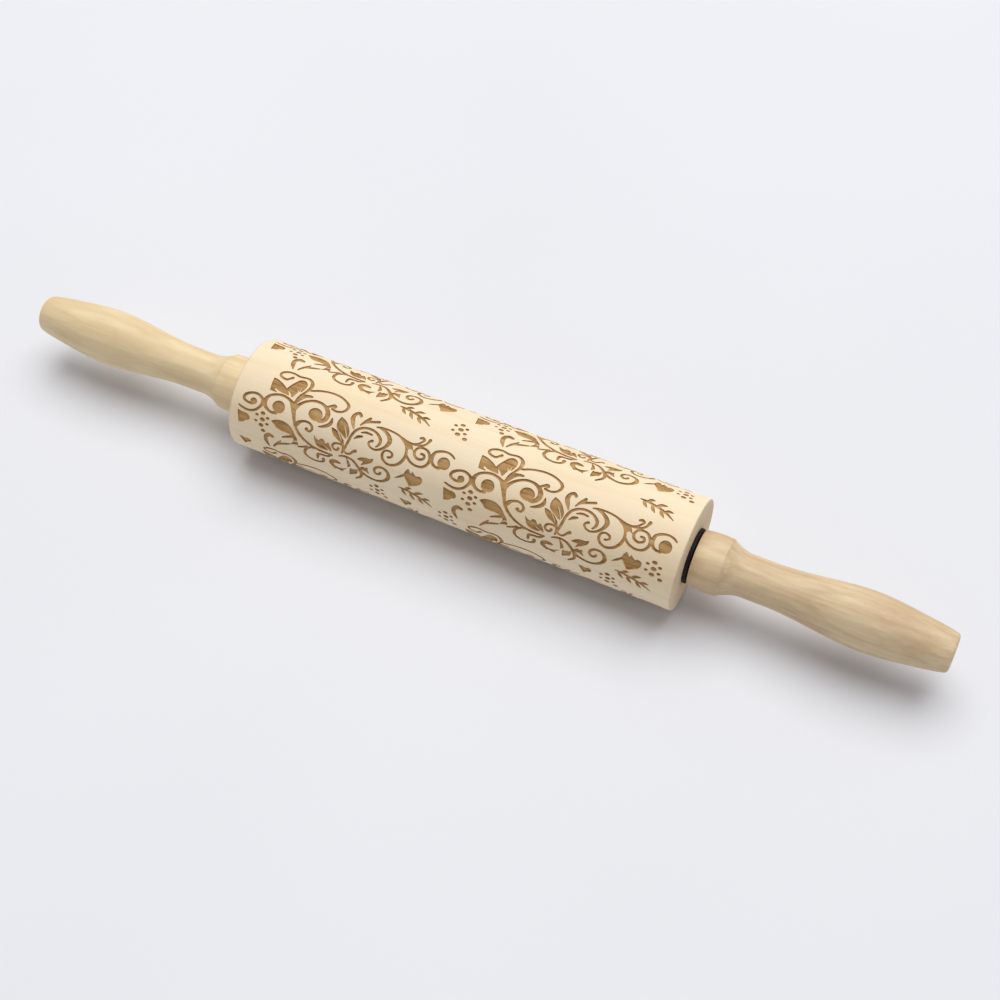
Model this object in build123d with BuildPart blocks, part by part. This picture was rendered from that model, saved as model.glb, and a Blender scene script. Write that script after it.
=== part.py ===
from build123d import *

import os

# An engraved wooden rolling pin: a barrel that turns on a steel axle between two fixed handles.
#
# The axle lies along X and the origin is the middle of the barrel. A flanged nylon bush is pressed into
# each end of the barrel and runs on the axle. Each handle is pressed onto an end of the axle, with a thin
# washer between it and the bush, so that the barrel turns while the handles are held still.

# Driving dimensions, in millimetres. The barrel is left plain here, to the crest of its engraving.
BARREL_RADIUS = 25.0
BARREL_LENGTH = 210.0
BARREL_EDGE = 0.5  # chamfer round each end face
HANDLE_LENGTH = 110.8
END_GAP = 2.2  # from the barrel's end face to the handle

AXLE_RADIUS = 4.0
AXLE_GRIP = 58.0  # length of axle inside each handle
AXLE_CHAMFER = 0.8
GLUE_GROOVE_DEPTH = 0.35
GLUE_GROOVE_WIDTH = 2.0
GLUE_GROOVE_PLACES = (18.0, 44.0)  # from the handle's inner face

BUSH_RADIUS = 8.0
BUSH_LENGTH = 14.0  # length inside the barrel
BUSH_CHAMFER = 0.6
FLANGE_RADIUS = 12.2
FLANGE_THICKNESS = 1.6
FLANGE_EDGE = 0.3
RUNNING_CLEARANCE = 0.05  # radial, between the axle and the bush
AXLE_TUNNEL_RADIUS = 5.5  # bore of the barrel between the bushes

WASHER_RADIUS = 7.5
WASHER_THICKNESS = 0.4
WASHER_CLEARANCE = 0.1  # radial, between the washer and the axle

# The handle's outline is a list of places from its inner face, each with the radius there:
# a crowned collar, a cove behind it, a straight neck, then a swelling grip that narrows to the tail.
COLLAR_FACE = (0.0, 12.2)
COLLAR_CROWN = (7.0, 12.95)
COLLAR_RIM = (12.6, 12.75)
COLLAR_BEVEL = (13.9, 11.75)
COLLAR_EDGE = 0.5
COVE_SLOPE = 0.42  # fall of the cove where it leaves the collar's bevel
NECK_START = (22.3, 9.4)
NECK_END = (32.3, 9.4)
GRIP_SHOULDER = (52.3, 11.0)
GRIP_FULLEST = (74.8, 12.9)
GRIP_TAPER = (97.3, 10.7)
TAIL = (HANDLE_LENGTH, 8.2)
TAIL_SLOPE = 0.32  # fall of the outline where it meets the end face
TAIL_EDGE = 2.0
SOCKET_DEPTH = AXLE_GRIP + 2.0

HALF_BARREL = BARREL_LENGTH / 2
HANDLE_FACE = HALF_BARREL + END_GAP  # X of the right handle's inner face
HALF_AXLE = HANDLE_FACE + AXLE_GRIP

SIDES = {"left": -1, "right": 1}


def make_barrel():
    """The wooden barrel, bored right through, with a wider seat for a bush at each end."""
    with BuildPart() as barrel:
        with BuildSketch(Plane.YZ.offset(-HALF_BARREL)):
            Circle(BARREL_RADIUS)
        extrude(amount=BARREL_LENGTH)
        rims = barrel.edges().filter_by(GeomType.CIRCLE)
        chamfer(rims, length=BARREL_EDGE)
        with Locations(Plane.YZ.offset(HALF_BARREL)):
            CounterBoreHole(AXLE_TUNNEL_RADIUS, BUSH_RADIUS, BUSH_LENGTH)
        with Locations(-Plane.YZ.offset(-HALF_BARREL)):
            CounterBoreHole(AXLE_TUNNEL_RADIUS, BUSH_RADIUS, BUSH_LENGTH)
    return barrel.part


def make_axle():
    """The steel rod, with chamfered ends and two shallow glue grooves inside each handle."""
    with BuildPart() as axle:
        with BuildSketch(Plane.YZ.offset(-HALF_AXLE)):
            Circle(AXLE_RADIUS)
        extrude(amount=2 * HALF_AXLE)
        chamfer(axle.edges().filter_by(GeomType.CIRCLE), length=AXLE_CHAMFER)
        groove_floor = AXLE_RADIUS - GLUE_GROOVE_DEPTH
        clear = AXLE_RADIUS + GLUE_GROOVE_DEPTH
        for side in SIDES.values():
            for place in GLUE_GROOVE_PLACES:
                start = side * (HANDLE_FACE + place)
                end = start + side * GLUE_GROOVE_WIDTH
                floor_line = [(start, groove_floor), (end, groove_floor)]
                open_line = [(end, clear), (start, clear)]
                with BuildSketch(Plane.XZ):
                    with BuildLine():
                        Polyline(floor_line + open_line, close=True)
                    make_face()
                revolve(axis=Axis.X, mode=Mode.SUBTRACT)
    return axle.part


def make_handle(side):
    """One turned wooden handle: side is 1 for the right one and -1 for the left."""

    def at(station):
        place, radius = station
        return (side * (HANDLE_FACE + place), radius)

    with BuildPart() as handle:
        with BuildSketch(Plane.XZ):
            with BuildLine():
                Line(at((0, 0)), at(COLLAR_FACE))
                ThreePointArc(at(COLLAR_FACE), at(COLLAR_CROWN), at(COLLAR_RIM))
                Line(at(COLLAR_RIM), at(COLLAR_BEVEL))
                Spline(at(COLLAR_BEVEL), at(NECK_START), tangents=[(side, -COVE_SLOPE), (side, 0)])
                Line(at(NECK_START), at(NECK_END))
                Spline(
                    at(NECK_END),
                    at(GRIP_SHOULDER),
                    at(GRIP_FULLEST),
                    at(GRIP_TAPER),
                    at(TAIL),
                    tangents=[(side, 0), (side, -TAIL_SLOPE)],
                )
                Polyline(at(TAIL), at((HANDLE_LENGTH, 0)), at((0, 0)))
            make_face()
        revolve(axis=Axis.X)
        rims = handle.edges().filter_by(GeomType.CIRCLE).sort_by(Axis.X, reverse=side < 0)
        fillet(rims[0], radius=COLLAR_EDGE)
        rims = handle.edges().filter_by(GeomType.CIRCLE).sort_by(Axis.X, reverse=side < 0)
        fillet(rims[-1], radius=TAIL_EDGE)
        with BuildSketch(Plane.YZ.offset(side * HANDLE_FACE)):
            Circle(AXLE_RADIUS)
        extrude(amount=side * SOCKET_DEPTH, mode=Mode.SUBTRACT)
    return handle.part


def make_bush(side):
    """One flanged nylon bush: its body is pressed into the barrel and its flange covers the seat."""
    mouth = side * HALF_BARREL
    with BuildPart() as bush:
        with BuildSketch(Plane.YZ.offset(mouth)):
            Circle(BUSH_RADIUS)
        extrude(amount=-side * BUSH_LENGTH)
        rims = bush.edges().filter_by(GeomType.CIRCLE).sort_by(Axis.X, reverse=side < 0)
        chamfer(rims[0], length=BUSH_CHAMFER)
        with BuildSketch(Plane.YZ.offset(mouth)):
            Circle(FLANGE_RADIUS)
        extrude(amount=side * FLANGE_THICKNESS)
        rims = bush.edges().filter_by(GeomType.CIRCLE).sort_by(Axis.X, reverse=side < 0)
        fillet(rims[-1], radius=FLANGE_EDGE)
        with Locations(Plane.YZ.offset(mouth)):
            Hole(AXLE_RADIUS + RUNNING_CLEARANCE)
    return bush.part


def make_washer(side):
    """One thin steel washer, flat against the handle's inner face."""
    with BuildPart() as washer:
        with BuildSketch(Plane.YZ.offset(side * HANDLE_FACE)):
            Circle(WASHER_RADIUS)
            Circle(AXLE_RADIUS + WASHER_CLEARANCE, mode=Mode.SUBTRACT)
        extrude(amount=-side * WASHER_THICKNESS)
    return washer.part


pieces = {"engraved_barrel": make_barrel(), "axle_rod": make_axle()}
for side_name, side in SIDES.items():
    pieces[f"{side_name}_handle"] = make_handle(side)
    pieces[f"{side_name}_bush"] = make_bush(side)
    pieces[f"{side_name}_washer"] = make_washer(side)

os.makedirs("parts", exist_ok=True)
for node, part in pieces.items():
    part.label = node
    export_step(part, f"parts/{node}.step")
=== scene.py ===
import math

import bpy
import numpy as np
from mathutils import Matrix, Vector
from mathutils.geometry import delaunay_2d_cdt


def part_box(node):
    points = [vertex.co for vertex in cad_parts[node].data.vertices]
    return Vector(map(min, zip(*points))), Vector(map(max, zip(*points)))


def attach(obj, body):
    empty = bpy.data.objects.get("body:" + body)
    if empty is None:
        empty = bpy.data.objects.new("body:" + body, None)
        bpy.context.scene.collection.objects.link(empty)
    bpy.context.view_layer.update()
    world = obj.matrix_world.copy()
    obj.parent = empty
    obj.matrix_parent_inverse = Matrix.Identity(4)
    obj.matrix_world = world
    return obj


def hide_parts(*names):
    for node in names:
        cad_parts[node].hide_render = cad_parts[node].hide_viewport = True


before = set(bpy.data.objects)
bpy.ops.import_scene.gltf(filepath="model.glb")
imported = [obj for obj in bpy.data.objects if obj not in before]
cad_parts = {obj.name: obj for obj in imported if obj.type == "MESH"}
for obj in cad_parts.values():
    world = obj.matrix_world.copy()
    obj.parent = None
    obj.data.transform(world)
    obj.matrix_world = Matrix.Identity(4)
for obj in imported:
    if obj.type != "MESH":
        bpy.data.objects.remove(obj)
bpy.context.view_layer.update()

# A wooden embossing rolling pin. The barrel's engraving is real recessed geometry: a flat drawing of
# strokes, discs and leaves, laid round the barrel in rows. The handles are turned from the CAD handles'
# own outlines. The object is in metres, in the frame's axes: X along the axle, Z up.

MM = 0.001

BARREL_LOW, BARREL_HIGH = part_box("engraved_barrel")
HALF_BARREL = BARREL_HIGH.x
BARREL_RADIUS = min(*BARREL_HIGH.yz, *-BARREL_LOW.yz)
BUSH_SEAT_DEPTH = HALF_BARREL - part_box("right_bush")[0].x
BUSH_SEAT_RADIUS = 8 * MM
TUNNEL_RADIUS = 5.5 * MM
BARREL_EDGE = 0.5 * MM
FLOOR_HEIGHT = BARREL_LOW.z
SHARP_ANGLE = math.radians(32)

# ---------- The engraving, drawn flat in millimetres ----------

# Every place is (along the barrel, round the barrel), counted from the start of a repeat.

REPEAT_LENGTH = 100.4  # along the barrel
REPEATS_ALONG = 2
REPEATS_ROUND = 4
FIRST_REPEAT = 3.6  # from the barrel's left end to the drawing's zero
DRAWING_TURN = 9.9  # mm round the barrel from the front line to the drawing's zero
ENGRAVING_DEPTH = 0.62
STROKE_GAIN = 0.1  # how far each rim lies outside its drawn line
WALL_RUN = 0.13  # how far a wall leans in from its rim to the floor
DRAWING_STEP = 0.2  # grid of the drawing's distance field
FIELD_REACH = 1.4  # distances are only needed this close to a shape
CURVE_STEP = 0.25  # about how far apart a smooth curve's points are
ROW_CORNERS = (-2.0, -12.0), (104.0, 30.0)  # of the sheet that one repeat of a row is drawn on
FILLER_CORNERS = (-12.0, -8.0), (12.0, 8.0)  # of the sheet for a small motif

# Each stroke is a list of (along, round, width).
SCROLLS = {
    "left_spiral": [
        (0.7, 6.3, 0.7), (2.6, 5.7, 0.9), (5.6, 5.4, 1.0), (8.6, 6.5, 1.0), (10.7, 8.9, 1.2),
        (11.3, 11.0, 1.6), (10.2, 12.7, 1.1), (7.6, 13.6, 1.0), (5.0, 13.2, 1.0), (2.8, 11.9, 1.2),
        (2.1, 10.4, 1.2), (2.9, 9.2, 1.1), (4.9, 8.7, 1.0), (6.6, 8.8, 1.1),
    ],
    "main_stem": [
        (18.5, 8.4, 1.2), (16.2, 8.1, 1.1), (14.0, 8.9, 1.3), (12.4, 10.6, 1.9), (12.2, 12.6, 1.8),
        (13.4, 14.7, 1.1), (15.6, 16.0, 1.0), (18.5, 16.7, 1.0), (21.2, 16.5, 1.0), (23.6, 15.6, 1.3),
        (25.4, 13.9, 2.5), (26.4, 11.6, 1.9), (27.3, 9.2, 1.4), (28.5, 6.6, 1.2), (30.2, 4.3, 1.2),
        (32.8, 2.2, 1.2), (36.0, 0.6, 1.0), (40.0, -0.5, 0.9), (44.0, -0.9, 0.9), (48.2, -0.7, 0.5),
    ],
    "flower_curl": [
        (25.7, 14.2, 1.8), (25.7, 16.5, 1.1), (26.4, 19.0, 1.0), (27.9, 21.3, 0.9), (29.1, 23.5, 1.3),
        (29.3, 25.6, 1.6), (28.2, 27.3, 1.1), (26.0, 28.1, 0.8), (22.2, 27.6, 0.8), (19.0, 28.1, 0.8),
        (16.2, 27.7, 0.9), (14.1, 26.5, 1.0), (13.9, 25.2, 1.0), (15.2, 24.3, 0.9), (17.4, 24.1, 0.9),
        (18.5, 24.9, 0.9), (19.6, 25.8, 1.2),
    ],
    "berry_arc": [
        (26.5, 13.7, 1.8), (28.2, 16.1, 1.3), (30.6, 18.1, 1.0), (34.0, 19.4, 1.0), (37.5, 19.3, 1.1),
        (40.2, 18.0, 1.6), (41.6, 15.9, 2.1), (41.3, 13.7, 2.0), (39.6, 12.0, 1.4), (37.8, 11.8, 1.2),
    ],
    "upper_loop": [
        (29.3, 22.9, 0.6), (31.0, 23.4, 0.8), (33.5, 24.4, 0.8), (37.0, 25.2, 0.8), (40.5, 25.5, 0.8),
        (44.0, 25.1, 0.8), (46.9, 24.0, 0.9), (48.7, 22.6, 1.2), (48.9, 21.2, 1.2), (47.9, 19.6, 0.9),
        (46.0, 18.6, 0.8), (44.0, 18.4, 0.8), (42.5, 18.7, 0.9),
    ],
    "hook": [(39.6, 18.4, 1.0), (41.2, 19.5, 1.0), (42.6, 20.3, 1.3), (43.3, 20.1, 1.6)],
    "crescent": [
        (39.3, 9.5, 0.4), (41.4, 10.3, 1.1), (43.4, 11.6, 1.5), (44.3, 13.1, 1.5), (44.2, 15.0, 0.4),
    ],
    "stem_spiral": [
        (28.7, 6.2, 1.4), (29.6, 7.7, 1.8), (31.0, 9.0, 1.1), (33.2, 9.7, 0.9), (35.4, 9.3, 1.0),
        (36.7, 7.9, 1.1), (36.3, 6.4, 0.9), (35.2, 5.9, 0.8), (34.3, 6.5, 1.6),
    ],
    "lower_loop": [
        (40.0, -0.6, 0.7), (37.4, -1.2, 0.9), (35.4, -2.9, 1.2), (35.1, -5.0, 1.3), (36.6, -6.6, 0.9),
        (39.5, -7.3, 0.8), (42.2, -7.0, 0.8), (44.1, -6.0, 1.1), (44.3, -4.7, 1.5),
    ],
    "lower_hook": [
        (48.2, -0.8, 0.7), (46.2, -2.2, 0.9), (43.6, -2.5, 0.8), (41.7, -2.9, 1.2), (41.4, -4.2, 1.2),
        (41.4, -5.4, 0.7),
    ],
    "lower_vein": [(35.9, -1.0, 0.6), (34.0, -2.2, 0.8), (31.6, -3.1, 0.6)],
    "barb": [(29.6, 0.9, 1.2), (27.2, 0.3, 1.1), (25.2, -0.5, 0.9), (23.6, -1.3, 0.5)],
    "twig": [(27.3, -3.5, 0.6), (24.6, -4.5, 1.0), (21.6, -5.8, 1.0), (20.2, -7.1, 1.0), (19.3, -8.5, 0.5)],
    "twig_side": [(22.9, -3.6, 0.5), (21.9, -5.0, 1.0), (20.6, -6.4, 1.0)],
    "leaf_stalk": [(51.6, 7.6, 1.0), (52.4, 5.4, 1.0), (52.9, 3.4, 1.1), (52.4, 1.7, 0.5)],
    "stalk_spiral": [
        (52.2, 5.3, 0.8), (50.2, 5.6, 0.8), (48.3, 5.0, 0.9), (47.7, 3.6, 1.0), (48.6, 2.5, 0.9),
        (50.0, 2.4, 0.9), (50.6, 3.4, 1.2),
    ],
    "arch": [
        (52.9, 3.0, 0.9), (53.6, 5.2, 1.0), (54.3, 8.0, 1.1), (54.9, 11.0, 1.1), (56.1, 13.6, 1.1),
        (58.2, 15.4, 1.0), (60.8, 16.3, 0.9), (63.6, 16.3, 0.9), (66.1, 15.4, 1.0), (67.9, 13.8, 1.3),
        (68.3, 12.2, 1.2), (67.7, 10.8, 0.9), (67.0, 10.1, 0.5),
    ],
    "arch_curl": [(53.1, 3.1, 0.9), (54.8, 2.5, 0.8), (56.3, 3.0, 0.9), (57.4, 4.3, 1.0), (58.5, 5.1, 1.4)],
    "plume": [
        (55.9, 20.4, 1.3), (54.8, 21.2, 1.2), (53.3, 20.2, 1.4), (52.9, 18.2, 1.9), (53.9, 16.0, 1.5),
        (54.9, 14.0, 0.4),
    ],
    "sprig": [(57.2, 16.5, 0.5), (58.6, 18.4, 1.2), (60.3, 20.6, 1.2)],
    "sprig_side": [(58.6, 18.2, 0.8), (61.0, 19.3, 0.9), (64.7, 20.6, 1.0)],
    "arch_leaf_upper": [(58.8, 13.7, 0.4), (61.0, 14.4, 0.9), (63.8, 14.3, 0.6)],
    "arch_leaf_lower": [(56.5, 10.2, 0.4), (58.0, 11.5, 1.2), (59.7, 12.2, 0.7)],
    "hooked_vine": [
        (66.0, 18.4, 0.7), (68.7, 17.7, 1.1), (71.1, 16.2, 1.6), (72.2, 14.1, 1.9), (71.3, 11.8, 1.3),
        (69.3, 9.8, 1.0), (66.6, 8.7, 0.8), (64.4, 9.2, 0.8), (63.4, 10.6, 0.9), (63.9, 11.5, 0.9),
        (64.7, 11.9, 1.2),
    ],
    "top_vine": [
        (64.5, 18.2, 0.5), (67.0, 18.7, 0.7), (70.5, 18.8, 0.7), (74.0, 18.4, 0.7), (77.0, 17.5, 0.9),
        (79.5, 16.9, 0.9), (82.0, 16.8, 0.8), (84.6, 17.0, 0.7), (86.8, 17.8, 0.8), (88.1, 19.1, 0.9),
        (88.8, 20.8, 1.4),
    ],
    "top_curl": [
        (82.5, 17.0, 0.5), (84.4, 17.7, 0.7), (85.7, 18.9, 0.8), (86.4, 20.0, 1.0), (85.5, 20.7, 1.0),
        (84.4, 20.3, 0.9),
    ],
    "large_curl": [
        (76.5, 17.4, 0.6), (79.0, 16.0, 1.0), (80.4, 13.9, 1.0), (80.9, 11.2, 1.1), (80.2, 8.5, 1.3),
        (78.4, 6.2, 1.1), (75.9, 4.9, 1.0), (73.5, 4.8, 1.0), (71.5, 6.0, 1.1), (70.7, 8.1, 1.1),
        (71.5, 9.9, 0.8), (73.2, 10.4, 0.8), (74.9, 9.8, 0.9), (75.2, 8.7, 0.9), (74.4, 7.9, 0.8),
        (73.5, 7.7, 0.9),
    ],
    "right_spiral": [
        (80.9, 12.0, 0.6), (82.1, 10.4, 1.0), (84.0, 9.1, 1.0), (86.6, 8.5, 0.9), (89.2, 8.9, 1.0),
        (91.0, 10.4, 1.1), (91.7, 12.5, 1.2), (91.0, 14.7, 1.1), (89.4, 16.3, 0.9), (87.1, 16.7, 0.8),
        (85.1, 15.9, 0.9), (84.2, 14.1, 1.1), (84.8, 12.4, 1.1), (86.4, 11.6, 1.0), (88.1, 11.9, 0.9),
        (89.1, 12.9, 1.0), (88.6, 14.0, 1.0), (87.3, 14.1, 0.9),
    ],
    "end_tendril": [
        (92.0, 14.4, 1.2), (92.7, 16.6, 1.1), (94.8, 18.0, 1.0), (97.5, 18.6, 0.8), (100.0, 18.2, 0.8),
        (101.7, 17.2, 0.7),
    ],
    "end_arc": [
        (92.7, 16.0, 1.1), (92.4, 14.2, 1.3), (93.0, 12.3, 1.3), (94.6, 11.1, 1.1), (96.8, 10.9, 1.1),
    ],
    "low_vine": [
        (51.5, 0.1, 0.5), (53.6, 0.8, 0.9), (56.0, 0.9, 0.9), (58.5, 0.2, 1.0), (60.7, -1.6, 1.3),
        (63.1, -3.8, 1.3), (66.0, -5.0, 1.0), (69.3, -5.4, 0.9), (72.3, -4.7, 1.1), (74.6, -3.1, 1.4),
        (75.6, -1.1, 1.7), (74.9, 0.9, 1.3), (73.0, 2.0, 1.0), (70.8, 2.0, 1.0), (69.1, 1.0, 1.1),
        (68.7, -0.5, 1.1), (69.7, -1.6, 1.0), (71.1, -1.4, 1.0), (71.6, -0.6, 1.2),
    ],
    "low_vine_tail": [(61.7, -3.2, 1.0), (62.8, -4.8, 1.3), (62.5, -6.6, 1.1), (60.2, -8.7, 0.6)],
}

# Each disc is (along, round, half its length, half its height).
DISCS = {
    "left_spiral_eye": (7.0, 10.1, 1.5, 1.4),
    "left_berry": (19.0, 11.4, 2.9, 2.7),
    "large_berry": (36.3, 14.0, 3.2, 2.75),
    "end_berry": (98.1, 13.6, 2.75, 2.65),
}

# Each leaf is a list of smooth sides, which meet at sharp tips: a side starts where the last one ended.
LEAVES = {
    "flower_left_petal": [
        [(11.9, 22.9), (14.0, 22.7), (17.2, 21.5), (19.0, 20.4)],
        [(19.0, 20.4), (20.3, 19.6), (21.5, 17.7)],
        [(21.5, 17.7), (18.6, 17.8), (16.2, 18.2), (14.4, 18.9)],
        [(14.4, 18.9), (14.5, 17.9), (15.9, 17.2)],
        [(15.9, 17.2), (14.1, 17.1), (12.5, 17.2)],
        [(12.5, 17.2), (12.1, 20.0), (11.9, 22.9)],
    ],
    "flower_folded_petal": [
        [
            (19.5, 20.5), (20.7, 22.6), (21.9, 24.3), (23.1, 25.8), (25.2, 26.5), (27.1, 25.3), (27.3, 23.3),
            (26.3, 21.2),
        ],
        [(26.3, 21.2), (25.2, 20.4), (24.3, 19.4), (23.8, 18.1)],
        [(23.8, 18.1), (23.1, 17.4), (21.9, 18.8), (19.5, 20.5)],
    ],
    "broad_leaf": [
        [
            (17.3, 4.4), (19.2, 5.6), (21.6, 6.1), (24.0, 6.0), (26.2, 5.2), (28.0, 3.8), (29.3, 2.1),
            (30.4, 0.7),
        ],
        [(30.4, 0.7), (28.2, 1.0), (25.5, 1.5), (22.5, 1.4), (20.3, 1.9), (19.2, 3.0), (17.3, 4.4)],
    ],
    "broad_leaf_barb": [
        [(30.4, 1.0), (31.0, -0.5), (31.6, -2.4)],
        [(31.6, -2.4), (30.0, -2.6), (27.6, -3.4)],
        [(27.6, -3.4), (28.9, -2.0), (29.1, -0.6), (29.3, 0.7), (30.4, 1.0)],
    ],
    "spur": [
        [(26.1, 15.4), (26.5, 18.0), (27.9, 20.2), (30.0, 20.9), (31.9, 21.0)],
        [(31.9, 21.0), (32.3, 20.6), (31.9, 20.2)],
        [(31.9, 20.2), (29.8, 19.6), (28.0, 18.0), (26.1, 15.4)],
    ],
    "left_heart": [
        [(0.5, 4.1), (3.0, 3.7), (5.4, 3.5), (6.7, 2.3), (6.3, 0.8), (4.9, 0.3)],
        [(4.9, 0.3), (3.9, -0.9), (1.6, -1.7)],
        [(1.6, -1.7), (1.2, 1.0), (0.5, 4.1)],
    ],
    "lobed_leaf": [
        [(38.3, 5.2), (39.4, 4.2), (41.0, 3.7)],
        [(41.0, 3.7), (41.6, 4.7), (42.8, 4.9), (43.7, 4.1), (44.3, 3.1)],
        [(44.3, 3.1), (45.5, 4.3)],
        [(45.5, 4.3), (46.6, 3.0), (47.8, 0.8)],
        [(47.8, 0.8), (46.2, 0.9), (44.2, 0.4), (41.8, 0.5), (40.1, 1.4), (39.1, 3.0), (38.3, 5.2)],
    ],
    "tall_leaf": [
        [(48.0, 17.0), (49.9, 16.3), (51.7, 15.0), (53.0, 13.2), (53.7, 11.2), (53.2, 8.6)],
        [(53.2, 8.6), (51.3, 9.4), (49.5, 10.5), (47.9, 11.4)],
        [(47.9, 11.4), (47.1, 13.0), (47.2, 15.0), (48.0, 17.0)],
    ],
    "side_leaf": [
        [(45.3, 11.3), (47.0, 11.1), (49.0, 10.3), (50.8, 9.0), (52.0, 7.3), (52.6, 5.2)],
        [(52.6, 5.2), (51.0, 6.4), (49.0, 7.2), (47.2, 8.3), (46.0, 9.7), (45.3, 11.3)],
    ],
    "vine_wedge": [
        [(78.4, 16.8), (80.4, 16.9), (82.1, 16.2), (83.5, 14.1)],
        [(83.5, 14.1), (81.9, 14.5), (80.6, 13.4)],
        [(80.6, 13.4), (79.9, 15.3), (78.4, 16.8)],
    ],
    "rosebud": [
        [(78.4, -0.2), (80.4, 1.7), (82.2, 3.1), (82.8, 4.7), (83.7, 6.1)],
        [(83.7, 6.1), (84.7, 5.2), (85.2, 4.0)],
        [(85.2, 4.0), (86.0, 5.5)],
        [(86.0, 5.5), (87.0, 4.6), (88.0, 3.9)],
        [(88.0, 3.9), (89.3, 4.5), (90.7, 3.9), (91.0, 2.4), (90.0, 0.7), (88.4, -0.3), (85.6, -1.8)],
        [(85.6, -1.8), (84.3, 0.1), (82.6, 2.2)],
        [(82.6, 2.2), (80.6, 0.7), (78.4, -0.2)],
    ],
    "vine_leaf": [
        [(60.0, 1.9), (62.0, 3.4), (64.4, 3.9), (66.0, 4.0), (67.4, 4.7)],
        [(67.4, 4.7), (67.0, 2.9), (65.4, 1.5), (63.6, 0.5), (62.1, -0.3)],
        [(62.1, -0.3), (62.7, 0.7), (63.1, 1.7)],
        [(63.1, 1.7), (61.6, 1.6), (60.0, 1.9)],
    ],
    "vine_leaflet": [
        [(62.0, -1.6), (63.3, -0.7), (64.3, -1.0)],
        [(64.3, -1.0), (65.5, -0.3)],
        [(65.5, -0.3), (65.6, -1.7), (66.5, -3.2)],
        [(66.5, -3.2), (64.5, -2.6), (63.0, -2.4), (62.0, -1.6)],
    ],
    "vine_drop": [
        [(55.0, 0.5), (56.5, -1.0), (57.5, -2.9)],
        [(57.5, -2.9), (56.9, -3.3), (56.1, -4.1)],
        [(56.1, -4.1), (55.9, -2.4), (55.0, 0.5)],
    ],
    "curled_leaf": [
        [(52.9, -3.6), (51.8, -2.8), (50.0, -2.5), (48.2, -3.0), (47.1, -4.3), (47.6, -5.9), (49.9, -7.5)],
        [(49.9, -7.5), (51.0, -7.0), (52.4, -7.3), (54.0, -7.6)],
        [(54.0, -7.6), (53.9, -6.7), (55.7, -5.0)],
        [
            (55.7, -5.0), (53.5, -5.9), (51.5, -6.2), (50.0, -5.8), (49.2, -4.9), (49.8, -4.2), (51.3, -4.1),
            (52.9, -3.6),
        ],
    ],
    "fan_leaf": [
        [(57.3, -7.7), (57.1, -6.0), (57.2, -4.1)],
        [(57.2, -4.1), (58.0, -4.1), (58.5, -4.5)],
        [(58.5, -4.5), (58.8, -3.9), (59.3, -3.6)],
        [(59.3, -3.6), (59.8, -4.0)],
        [(59.8, -4.0), (60.2, -3.5), (60.8, -3.2)],
        [(60.8, -3.2), (60.9, -4.8), (60.4, -5.9), (59.2, -6.5), (57.3, -7.7)],
    ],
}

# Fine lines left standing inside a leaf, as (along, round, width).
VEINS = [
    [(25.1, 19.8, 0.5), (24.6, 21.0, 0.5), (23.8, 22.1, 0.3)],
    [(25.1, 19.8, 0.5), (25.7, 21.4, 0.5), (26.0, 23.0, 0.3)],
    [(50.2, 14.1, 0.3), (51.6, 12.3, 0.5), (52.7, 10.2, 0.5), (53.3, 8.2, 0.5)],
    [(48.6, 10.4, 0.3), (50.0, 8.9, 0.5), (51.4, 7.0, 0.4)],
    [(46.8, 0.8, 0.4), (44.8, 1.7, 0.4), (42.7, 2.9, 0.3)],
    [(28.8, -1.4, 0.3), (30.3, -0.9, 0.5), (31.7, -0.7, 0.5)],
]

# A cluster of seed dots: (along, round, size) from its middle dot.
SEED_DOTS = [
    (0.0, 0.0, 1.15), (-0.3, 2.8, 1.05), (-0.3, -2.8, 1.1), (-3.0, 1.4, 0.75), (2.4, 1.3, 0.75),
    (-3.1, -1.5, 0.7), (2.5, -1.5, 0.75),
]
SEED_FLATNESS = 0.75
ROW_SEEDS = (13.0, 3.5)  # where each repeat has its own cluster
ROW_SEEDS_TAIL = (1.0, -5.2, 1.0)  # a last dot that hangs below that cluster
FILLER_SEEDS_TAIL = (3.6, -4.0, 1.0)  # and below every other cluster

# Small motifs that don't come in every repeat, each about its own middle.
FILLER_STROKES = {
    "comma": [[(2.2, 3.1, 1.4), (0.3, 3.3, 1.8), (-1.2, 1.7, 1.8), (-0.9, -0.8, 1.8), (0.6, -3.6, 0.3)]],
    "sprig": [
        [
            (-7.2, 0.9, 0.3), (-4.6, 0.8, 0.9), (-1.6, 0.3, 1.0), (2.0, -0.5, 1.0), (5.6, -1.8, 0.9),
            (9.0, -3.7, 0.2),
        ],
        [(-4.4, 0.7, 0.5), (-2.9, 2.0, 1.3), (-1.3, 2.4, 0.2)],
        [(0.0, 0.0, 0.5), (1.9, 1.3, 1.4), (4.3, 1.9, 0.2)],
        [(4.0, -1.2, 0.5), (5.8, -0.4, 1.2), (7.8, -0.4, 0.2)],
        [(-5.6, 0.8, 0.5), (-4.8, -0.8, 1.3), (-3.3, -2.1, 0.2)],
        [(-1.6, 0.2, 0.5), (-0.9, -1.6, 1.4), (0.6, -3.2, 0.2)],
        [(2.4, -0.7, 0.5), (3.3, -2.5, 1.3), (4.9, -3.9, 0.2)],
    ],
}
FILLER_LEAVES = {
    "heart": [
        [(-2.8, 1.7), (-1.3, 1.6), (0.2, 1.2)],
        [(0.2, 1.2), (1.5, 1.8), (2.9, 0.9), (2.5, -0.5), (1.2, -1.1), (-0.5, -2.9)],
        [(-0.5, -2.9), (-1.5, -0.9), (-2.8, 1.7)],
    ],
}

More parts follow.
